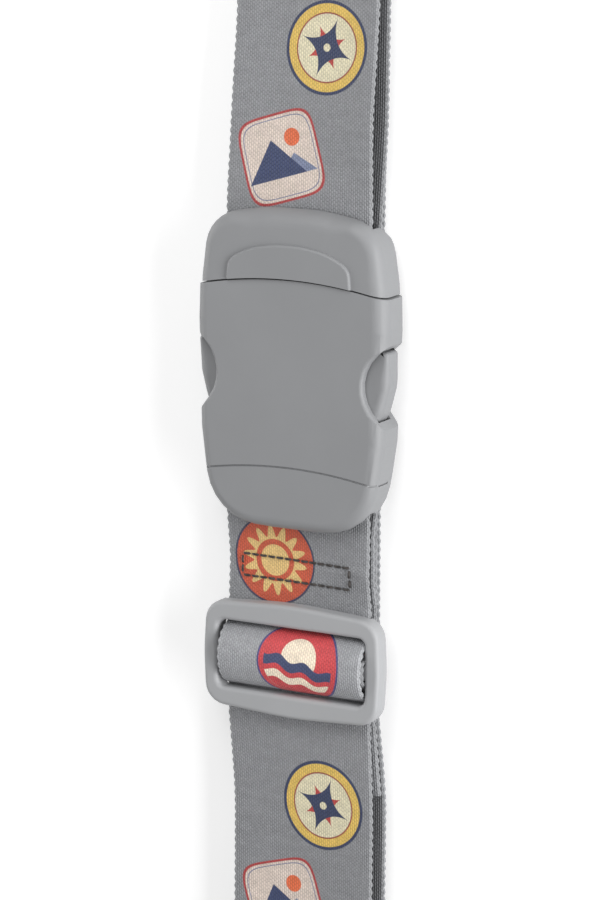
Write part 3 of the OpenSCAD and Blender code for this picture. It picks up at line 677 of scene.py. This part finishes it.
paths = {
    "sewn_end": route(
        HEM_UNDER,
        (line((HEM_END, HEM_Z), (HEM_FOLD, HEM_Z)), HEM_UNDER),
        (bend((HEM_FOLD, HEM_Z + HEM_R), HEM_R, 270, 90), HEM_UPPER),
        (ease((HEM_CLEAR, HEM_Z + 2 * HEM_R), (FEMALE_OUT, FRONT_INNER)), STRAIGHT),
        (bend((FEMALE_BAR, BAR_Z), BAR_R, -90, 90), STRAIGHT),
        (ease((FEMALE_OUT, OVER_BAR), (CHIN_AT, CHIN_Z)), CHIN),
        (ease((CHIN_AT, CHIN_Z), (SEWN_TO, PASS_Z)), SEWN)),
    "above_adjuster": route(SEWN, (line((SEWN_TO, PASS_Z), (PASS_TOP, PASS_Z)), ABOVE_ROLL)),
    "adjuster_pass": route(
        ABOVE_ROLL,
        (line((PASS_TOP, PASS_Z), (ROLL_TOP, PASS_Z)), ROLL),
        (bend((ROLL_TOP, PASS_Z + CORNER_R), CORNER_R, 270, 180 + CORNER_TO), ROLL),
        (bend((GLIDE, PASS_Z), ROLL_R, ROLL_FROM, 180 - ROLL_FROM, (OVER_GLIDE - PASS_Z) / ROLL_R), ROLL),
        (bend((ROLL_END, PASS_Z + CORNER_R), CORNER_R, -CORNER_TO, -90), ROLL),
        (line((ROLL_END, PASS_Z), (PASS_END, PASS_Z)), ROLL)),
    # the stretch that shortens most as the adjuster slides is level and straight, so that it stays smooth
    "lower_front": route(
        ROLL,
        (line((PASS_END, PASS_Z), (TAIL_CLEAR, PASS_Z)), FRONT),
        (line((TAIL_CLEAR, PASS_Z), (DROP_AT, PASS_Z)), FRONT),
        (ease((DROP_AT, PASS_Z), (FOLD_LEAD - FOLD_START, FRONT_OUTER)), FRONT_LOW),
        (line((FOLD_LEAD - FOLD_START, FRONT_OUTER), (-FOLD_START, FRONT_OUTER)), FRONT_LOW)),
    "lower_fold": route(
        FRONT_LOW,
        (ease((-FOLD_START, FRONT_OUTER), (-FOLD_MID, FOLD_Z + OUTER_FOLD_R)), LOW_TURN),
        (bend((-FOLD_MID, FOLD_Z), OUTER_FOLD_R, 90, 270), LOW_TURNED),
        (line((-FOLD_MID, BACK_OUTER), (-FOLD_START, BACK_OUTER)), BACK_LOW)),
    "back_outer": route(
        BACK_LOW,
        (line((-FOLD_START, BACK_OUTER), (0, BACK_OUTER)), BACK_MIDDLE),
        (line((0, BACK_OUTER), (FOLD_START, BACK_OUTER)), BACK_HIGH)),
    "male_loop": route(
        BACK_HIGH,
        (line((FOLD_START, BACK_OUTER), (FOLD_MID, BACK_OUTER)), HIGH_TURN),
        (bend((FOLD_MID, FOLD_Z), OUTER_FOLD_R, -90, 90), HIGH_TURNED),
        (ease((FOLD_MID, FOLD_Z + OUTER_FOLD_R), (FOLD_START, FRONT_OUTER)), FRONT_HIGH),
        (ease((FOLD_START, FRONT_OUTER), (UPPER_AT, UPPER_Z)), UPPER),
        (ease((UPPER_AT, UPPER_Z), (LIFT_AT, LIFT_Z)), LIFTED),
        (ease((LIFT_AT, LIFT_Z), (MALE_OUT, OVER_BAR)), STRAIGHT),
        (bend((MALE_BAR, BAR_Z), BAR_R, 90, 270), STRAIGHT),
        (line((MALE_BAR, FRONT_INNER), (MALE_OUT, FRONT_INNER)), INNER_AT_HOOD),
        (line((MALE_OUT, FRONT_INNER), (LIFT_AT, FRONT_INNER)), INNER_LIFTED),
        (line((LIFT_AT, FRONT_INNER), (FOLD_START, FRONT_INNER)), INNER_HIGH),
        (ease((FOLD_START, FRONT_INNER), (FOLD_MID, FOLD_Z + INNER_FOLD_R)), HIGH_TURNED),
        (bend((FOLD_MID, FOLD_Z), INNER_FOLD_R, 90, -90), HIGH_TURN),
        (line((FOLD_MID, BACK_INNER), (FOLD_START, BACK_INNER)), BACK_HIGH)),
    "back_inner": route(
        BACK_HIGH,
        (line((FOLD_START, BACK_INNER), (0, BACK_INNER)), BACK_MIDDLE),
        (line((0, BACK_INNER), (-FOLD_START, BACK_INNER)), BACK_LOW)),
    "lower_inner_fold": route(
        BACK_LOW,
        (line((-FOLD_START, BACK_INNER), (-FOLD_MID, BACK_INNER)), INNER_LOW_TURN),
        (bend((-FOLD_MID, FOLD_Z), INNER_FOLD_R, 270, 90), INNER_LOW_TURNED),
        (ease((-FOLD_MID, FOLD_Z + INNER_FOLD_R), (-FOLD_START, FRONT_INNER)), INNER_LOW)),
    "lower_inner": route(
        INNER_LOW,
        (line((-FOLD_START, FRONT_INNER), (TAIL_CLEAR, FRONT_INNER)), INNER_LOW)),
    "adjuster_end": route(
        INNER_LOW,
        (line((TAIL_CLEAR, FRONT_INNER), (TAIL_CLEAR + TAIL_LEAD, FRONT_INNER)), INNER_LEAD),
        (line((TAIL_CLEAR + TAIL_LEAD, FRONT_INNER), (RISE_FROM, FRONT_INNER)), AT_GLIDE_BAR),
        (ease((RISE_FROM, FRONT_INNER), (RISE_TO, GLIDE_BAR_Z - GLIDE_BAR_R)), AT_GLIDE_BAR),
        (bend((GLIDE + GLIDE_BAR_HALF, GLIDE_BAR_Z), GLIDE_BAR_R, -90, 90), AT_GLIDE_BAR),
        (ease((GLIDE - GLIDE_BAR_HALF, GLIDE_BAR_Z + GLIDE_BAR_R), (TAIL_FROM, TAIL_Z)), AT_GLIDE_BAR),
        (line((TAIL_FROM, TAIL_Z), (TAIL_END, TAIL_Z)), TAIL)),
}
starts = dict(zip(paths, np.cumsum([0.0] + [path[0][-1] for path in paths.values()])))
# Two stretches grow or shrink as the adjuster slides, so their weave keeps to its place on the table
keeps_place = {"above_adjuster": starts["above_adjuster"] + SEWN_TO,
               "lower_front": starts["lower_front"] + PASS_END}
cloths = {name: polyester_webbing("polyester_webbing_" + name, along_from=along)
          for name, along in keeps_place.items()}
# the roll's cloth gets a painted sheen over the adjuster's bar
cloths["adjuster_pass"] = polyester_webbing("polyester_webbing_painted_sheen", painted_sheen_at=GLIDE)
webbing = {name: ribbon("webbing." + name, starts[name], path, cloths.get(name, webbing_cloth))
           for name, path in paths.items()}

rides = {"sewn_end": "female_side", "adjuster_pass": "adjuster", "lower_fold": "female_side",
         "male_loop": "male_side", "lower_inner_fold": "female_side", "adjuster_end": "adjuster"}
for name, body in rides.items():
    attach(webbing[name], body)
blends = {"above_adjuster": ("female_side", "adjuster", STRETCH_FROM, PASS_TOP),
          "lower_front": ("adjuster", "female_side", PASS_END, -FOLD_START),
          "back_outer": ("female_side", "male_side", -FOLD_START, FOLD_START),
          "back_inner": ("female_side", "male_side", -FOLD_START, FOLD_START),
          "lower_inner": ("adjuster", "female_side", TAIL_CLEAR, -FOLD_START)}
for name, (first, second, start, end) in blends.items():
    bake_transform(webbing[name])
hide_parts("webbing_sewn_end")
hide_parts("webbing_adjuster_pass")
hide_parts("webbing_lower_outer")
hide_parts("webbing_lower_fold_outer")
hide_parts("webbing_back_outer")
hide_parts("webbing_male_loop", "webbing_upper_fold_outer", "webbing_upper_fold_inner")
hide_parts("webbing_back_inner")
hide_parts("webbing_lower_fold_inner")
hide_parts("webbing_lower_inner")
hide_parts("webbing_adjuster_end")

# Mouldings and thread

moulding("buckle_female", "female_housing", "female_side", buckle_plastic)
moulding("buckle_male", "male_housing", "male_side", buckle_plastic)
moulding("prong_left", "left_prong", "left_prong_arm", buckle_plastic)
moulding("prong_right", "right_prong", "right_prong_arm", buckle_plastic)
moulding("adjuster", "adjuster_frame", "adjuster", adjuster_plastic)

# each box takes its heights from the rows of webbing round it, where y only falls
rows_above = 30
rows_of_tail = 60
buckle_run = np.concatenate([paths["sewn_end"][1][-rows_above:], paths["above_adjuster"][1]])
sewn_at_buckle = stitches("stitching.buckle", SEWN_AT_BUCKLE, buckle_run, thread)
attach(sewn_at_buckle, "female_side")
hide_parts("buckle_stitching")
adjuster_run = paths["adjuster_end"][1][-rows_of_tail:]
sewn_at_adjuster = stitches("stitching.adjuster", SEWN_AT_ADJUSTER, adjuster_run, thread)
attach(sewn_at_adjuster, "adjuster")
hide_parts("adjuster_stitching")

# Table, light and camera

reach = 4000.0
below = -0.05
corners = np.array([[-1, -1, 0], [1, -1, 0], [1, 1, 0], [-1, 1, 0]]) * reach + [0, 0, below]
put_mesh("table", corners, [[0, 1, 2, 3]], white_board())

world = bpy.data.worlds.new("studio")
world.use_nodes = True
world.node_tree.nodes.clear()
sky = add(world.node_tree, "ShaderNodeBackground", {"Color": srgb("#FFFFFF"), "Strength": 0.3})
add(world.node_tree, "ShaderNodeOutputWorld", {"Surface": sky})
scene.world = world

# Soft boxes: place, level width and height in metres, and power in watts. The key is a strip on the right
boxes = {"key": ((1.85, -0.1, 0.7), 2.4, 0.8, 50.0),
         "fill": ((-1.6, 0.2, 0.5), 1.0, 1.0, 12.0),
         "top": ((0.0, 0.75, 0.6), 0.6, 0.6, 4.0)}
for name, (place, width, height, power) in boxes.items():
    lamp = bpy.data.lights.new(name, "AREA")
    lamp.shape = "RECTANGLE"
    lamp.size = width
    lamp.size_y = height
    lamp.energy = power
    holder = bpy.data.objects.new(name, lamp)
    holder.location = place
    holder.rotation_euler = (-Vector(place)).to_track_quat("-Z", "Y").to_euler()
    scene.collection.objects.link(holder)

# The photograph's view: 28 degrees to the right of the buckle's front and 12 above it, turned by 0.45 degrees
turn_right = math.radians(28)
turn_up = math.radians(12)
tilt = math.radians(0.45)
target = Vector((4.6, 10.0, 16.55)) * MM
distance = 1.07
level = Vector((math.cos(turn_right), 0, -math.sin(turn_right)))
ahead = Vector((math.sin(turn_right), 0, math.cos(turn_right)))
back = ahead * math.cos(turn_up) + Vector((0, math.sin(turn_up), 0))
right = level * math.cos(tilt) + back.cross(level) * math.sin(tilt)
lens = bpy.data.cameras.new("camera")
lens.lens = 140
lens.sensor_width = 36
lens.clip_end = 20
camera = bpy.data.objects.new("camera", lens)
turned_view = Matrix((right, back.cross(right), back)).transposed().to_4x4()
camera.matrix_world = Matrix.Translation(target + back * distance) @ turned_view
scene.collection.objects.link(camera)
scene.camera = camera

scene.view_settings.view_transform = "Standard"
